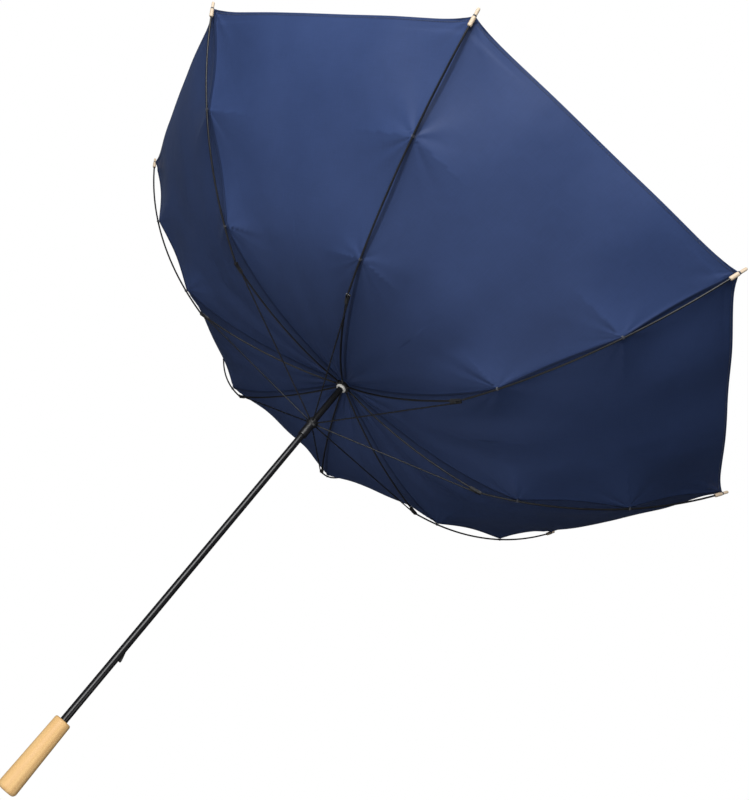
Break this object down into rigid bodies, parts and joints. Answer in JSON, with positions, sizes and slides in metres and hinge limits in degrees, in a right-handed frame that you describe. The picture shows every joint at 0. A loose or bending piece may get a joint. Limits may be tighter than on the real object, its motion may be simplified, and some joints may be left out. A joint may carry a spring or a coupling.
{
  "type": "stick umbrella",
  "caption": "Open stick umbrella blown inside out: jointed ribs, stretchers and a sliding runner on a slim shaft, a cloth canopy, and a straight wooden handle.",
  "frame": {"origin": "centre of the handle's flat end", "axes": "+Z along the shaft from the handle to the ferrule; +X along the first rib"},
  "size_m": [1.3176, 1.3176, 1.0448],
  "materials": {
    "shaft_black": "gloss black lacquer",
    "handle_wood": "satin lacquered wood",
    "ferrule_wood": "satin beech",
    "washer_black": "satin black",
    "notch_black": "semi-gloss moulded black",
    "collar_white": "off-white moulded",
    "wire_steel": "drawn wire",
    "runner_black": "semi-gloss moulded black",
    "catch_steel": "black sprung steel",
    "rib_black": "satin black",
    "tip_wood": "pale beech",
    "clip_black": "moulded black",
    "stretcher_black": "satin black",
    "canopy_cloth": "plain-weave polyester with a soft sheen"
  },
  "bodies": {
    "frame": {"shaft": "shaft_black", "handle": "handle_wood", "ferrule": "ferrule_wood", "crown_washer": "washer_black", "rosette": "canopy_cloth", "top_notch": "notch_black", "notch_collar": "collar_white", "notch_wire": "wire_steel"},
    "runner": {"runner": "runner_black", "runner_wire": "wire_steel"},
    "lower_catch": {"lower_catch": "catch_steel"},
    "upper_catch": {"upper_catch": "catch_steel"},
    "inner_rib_1": {"rib_1_inner": "rib_black", "rib_1_clip": "clip_black"},
    "inner_rib_2": {"rib_2_inner": "rib_black", "rib_2_clip": "clip_black"},
    "inner_rib_3": {"rib_3_inner": "rib_black", "rib_3_clip": "clip_black"},
    "inner_rib_4": {"rib_4_inner": "rib_black", "rib_4_clip": "clip_black"},
    "inner_rib_5": {"rib_5_inner": "rib_black", "rib_5_clip": "clip_black"},
    "inner_rib_6": {"rib_6_inner": "rib_black", "rib_6_clip": "clip_black"},
    "inner_rib_7": {"rib_7_inner": "rib_black", "rib_7_clip": "clip_black"},
    "inner_rib_8": {"rib_8_inner": "rib_black", "rib_8_clip": "clip_black"},
    "outer_rib_1": {"rib_1_outer": "rib_black", "rib_1_tip": "tip_wood", "panel_1": "canopy_cloth"},
    "outer_rib_2": {"rib_2_outer": "rib_black", "rib_2_tip": "tip_wood", "panel_2": "canopy_cloth"},
    "outer_rib_3": {"rib_3_outer": "rib_black", "rib_3_tip": "tip_wood", "panel_3": "canopy_cloth"},
    "outer_rib_4": {"rib_4_outer": "rib_black", "rib_4_tip": "tip_wood", "panel_4": "canopy_cloth"},
    "outer_rib_5": {"rib_5_outer": "rib_black", "rib_5_tip": "tip_wood", "panel_5": "canopy_cloth"},
    "outer_rib_6": {"rib_6_outer": "rib_black", "rib_6_tip": "tip_wood", "panel_6": "canopy_cloth"},
    "outer_rib_7": {"rib_7_outer": "rib_black", "rib_7_tip": "tip_wood", "panel_7": "canopy_cloth"},
    "outer_rib_8": {"rib_8_outer": "rib_black", "rib_8_tip": "tip_wood", "panel_8": "canopy_cloth"},
    "stretcher_1": {"stretcher_1": "stretcher_black"},
    "stretcher_2": {"stretcher_2": "stretcher_black"},
    "stretcher_3": {"stretcher_3": "stretcher_black"},
    "stretcher_4": {"stretcher_4": "stretcher_black"},
    "stretcher_5": {"stretcher_5": "stretcher_black"},
    "stretcher_6": {"stretcher_6": "stretcher_black"},
    "stretcher_7": {"stretcher_7": "stretcher_black"},
    "stretcher_8": {"stretcher_8": "stretcher_black"}
  },
  "joints": [
    {"name": "runner_slide", "type": "slide", "parent": "frame", "child": "runner", "axis": [0, 0, 1], "range_m": [-0.5061, 0], "deforming": ["panel_1", "panel_2", "panel_3", "panel_4", "panel_5", "panel_6", "panel_7", "panel_8"]},
    {"name": "rib_1_hinge", "type": "hinge", "parent": "frame", "child": "inner_rib_1", "pos_m": [0.0122, 0, 0.812], "axis": [0, 1, 0], "range_deg": [0, 78.8]},
    {"name": "rib_1_joint", "type": "hinge", "parent": "inner_rib_1", "child": "outer_rib_1", "pos_m": [0.308, 0, 0.781], "axis": [0, 1, 0], "range_deg": [0, 47.7]},
    {"name": "stretcher_1_hinge", "type": "hinge", "parent": "runner", "child": "stretcher_1", "pos_m": [0.009, 0, 0.718], "axis": [0, 1, 0], "range_deg": [-72.4, 0]},
    {"name": "rib_2_hinge", "type": "hinge", "parent": "frame", "child": "inner_rib_2", "pos_m": [0.00863, 0.00863, 0.812], "axis": [-0.7071, 0.7071, 0], "range_deg": [0, 78.8]},
    {"name": "rib_2_joint", "type": "hinge", "parent": "inner_rib_2", "child": "outer_rib_2", "pos_m": [0.21779, 0.21779, 0.781], "axis": [-0.7071, 0.7071, 0], "range_deg": [0, 47.7]},
    {"name": "stretcher_2_hinge", "type": "hinge", "parent": "runner", "child": "stretcher_2", "pos_m": [0.00636, 0.00636, 0.718], "axis": [-0.7071, 0.7071, 0], "range_deg": [-72.4, 0]},
    {"name": "rib_3_hinge", "type": "hinge", "parent": "frame", "child": "inner_rib_3", "pos_m": [0, 0.0122, 0.812], "axis": [-1, 0, 0], "range_deg": [0, 78.8]},
    {"name": "rib_3_joint", "type": "hinge", "parent": "inner_rib_3", "child": "outer_rib_3", "pos_m": [0, 0.308, 0.781], "axis": [-1, 0, 0], "range_deg": [0, 47.7]},
    {"name": "stretcher_3_hinge", "type": "hinge", "parent": "runner", "child": "stretcher_3", "pos_m": [0, 0.009, 0.718], "axis": [-1, 0, 0], "range_deg": [-72.4, 0]},
    {"name": "rib_4_hinge", "type": "hinge", "parent": "frame", "child": "inner_rib_4", "pos_m": [-0.00863, 0.00863, 0.812], "axis": [-0.7071, -0.7071, 0], "range_deg": [0, 78.8]},
    {"name": "rib_4_joint", "type": "hinge", "parent": "inner_rib_4", "child": "outer_rib_4", "pos_m": [-0.21779, 0.21779, 0.781], "axis": [-0.7071, -0.7071, 0], "range_deg": [0, 47.7]},
    {"name": "stretcher_4_hinge", "type": "hinge", "parent": "runner", "child": "stretcher_4", "pos_m": [-0.00636, 0.00636, 0.718], "axis": [-0.7071, -0.7071, 0], "range_deg": [-72.4, 0]},
    {"name": "rib_5_hinge", "type": "hinge", "parent": "frame", "child": "inner_rib_5", "pos_m": [-0.0122, 0, 0.812], "axis": [0, -1, 0], "range_deg": [0, 78.8]},
    {"name": "rib_5_joint", "type": "hinge", "parent": "inner_rib_5", "child": "outer_rib_5", "pos_m": [-0.308, 0, 0.781], "axis": [0, -1, 0], "range_deg": [0, 47.7]},
    {"name": "stretcher_5_hinge", "type": "hinge", "parent": "runner", "child": "stretcher_5", "pos_m": [-0.009, 0, 0.718], "axis": [0, -1, 0], "range_deg": [-72.4, 0]},
    {"name": "rib_6_hinge", "type": "hinge", "parent": "frame", "child": "inner_rib_6", "pos_m": [-0.00863, -0.00863, 0.812], "axis": [0.7071, -0.7071, 0], "range_deg": [0, 78.8]},
    {"name": "rib_6_joint", "type": "hinge", "parent": "inner_rib_6", "child": "outer_rib_6", "pos_m": [-0.21779, -0.21779, 0.781], "axis": [0.7071, -0.7071, 0], "range_deg": [0, 47.7]},
    {"name": "stretcher_6_hinge", "type": "hinge", "parent": "runner", "child": "stretcher_6", "pos_m": [-0.00636, -0.00636, 0.718], "axis": [0.7071, -0.7071, 0], "range_deg": [-72.4, 0]},
    {"name": "rib_7_hinge", "type": "hinge", "parent": "frame", "child": "inner_rib_7", "pos_m": [0, -0.0122, 0.812], "axis": [1, 0, 0], "range_deg": [0, 78.8]},
    {"name": "rib_7_joint", "type": "hinge", "parent": "inner_rib_7", "child": "outer_rib_7", "pos_m": [0, -0.308, 0.781], "axis": [1, 0, 0], "range_deg": [0, 47.7]},
    {"name": "stretcher_7_hinge", "type": "hinge", "parent": "runner", "child": "stretcher_7", "pos_m": [0, -0.009, 0.718], "axis": [1, 0, 0], "range_deg": [-72.4, 0]},
    {"name": "rib_8_hinge", "type": "hinge", "parent": "frame", "child": "inner_rib_8", "pos_m": [0.00863, -0.00863, 0.812], "axis": [0.7071, 0.7071, 0], "range_deg": [0, 78.8]},
    {"name": "rib_8_joint", "type": "hinge", "parent": "inner_rib_8", "child": "outer_rib_8", "pos_m": [0.21779, -0.21779, 0.781], "axis": [0.7071, 0.7071, 0], "range_deg": [0, 47.7]},
    {"name": "stretcher_8_hinge", "type": "hinge", "parent": "runner", "child": "stretcher_8", "pos_m": [0.00636, -0.00636, 0.718], "axis": [0.7071, 0.7071, 0], "range_deg": [-72.4, 0]},
    {"name": "lower_catch_press", "type": "slide", "parent": "frame", "child": "lower_catch", "axis": [0.9239, -0.3827, 0], "range_m": [0, 0.0036], "stiffness_N_per_m": 800},
    {"name": "upper_catch_press", "type": "slide", "parent": "frame", "child": "upper_catch", "axis": [0.3827, 0.9239, 0], "range_m": [0, 0.0032], "stiffness_N_per_m": 800}
  ],
  "couplings": [
    {"joint": "rib_1_hinge", "follows": "runner_slide", "rad_per_m": -2.7124},
    {"joint": "rib_1_joint", "follows": "runner_slide", "rad_per_m": -1.6405},
    {"joint": "stretcher_1_hinge", "follows": "runner_slide", "rad_per_m": 2.4926},
    {"joint": "rib_2_hinge", "follows": "runner_slide", "rad_per_m": -2.7124},
    {"joint": "rib_2_joint", "follows": "runner_slide", "rad_per_m": -1.6405},
    {"joint": "stretcher_2_hinge", "follows": "runner_slide", "rad_per_m": 2.4926},
    {"joint": "rib_3_hinge", "follows": "runner_slide", "rad_per_m": -2.7124},
    {"joint": "rib_3_joint", "follows": "runner_slide", "rad_per_m": -1.6405},
    {"joint": "stretcher_3_hinge", "follows": "runner_slide", "rad_per_m": 2.4926},
    {"joint": "rib_4_hinge", "follows": "runner_slide", "rad_per_m": -2.7124},
    {"joint": "rib_4_joint", "follows": "runner_slide", "rad_per_m": -1.6405},
    {"joint": "stretcher_4_hinge", "follows": "runner_slide", "rad_per_m": 2.4926},
    {"joint": "rib_5_hinge", "follows": "runner_slide", "rad_per_m": -2.7124},
    {"joint": "rib_5_joint", "follows": "runner_slide", "rad_per_m": -1.6405},
    {"joint": "stretcher_5_hinge", "follows": "runner_slide", "rad_per_m": 2.4926},
    {"joint": "rib_6_hinge", "follows": "runner_slide", "rad_per_m": -2.7124},
    {"joint": "rib_6_joint", "follows": "runner_slide", "rad_per_m": -1.6405},
    {"joint": "stretcher_6_hinge", "follows": "runner_slide", "rad_per_m": 2.4926},
    {"joint": "rib_7_hinge", "follows": "runner_slide", "rad_per_m": -2.7124},
    {"joint": "rib_7_joint", "follows": "runner_slide", "rad_per_m": -1.6405},
    {"joint": "stretcher_7_hinge", "follows": "runner_slide", "rad_per_m": 2.4926},
    {"joint": "rib_8_hinge", "follows": "runner_slide", "rad_per_m": -2.7124},
    {"joint": "rib_8_joint", "follows": "runner_slide", "rad_per_m": -1.6405},
    {"joint": "stretcher_8_hinge", "follows": "runner_slide", "rad_per_m": 2.4926}
  ]
}
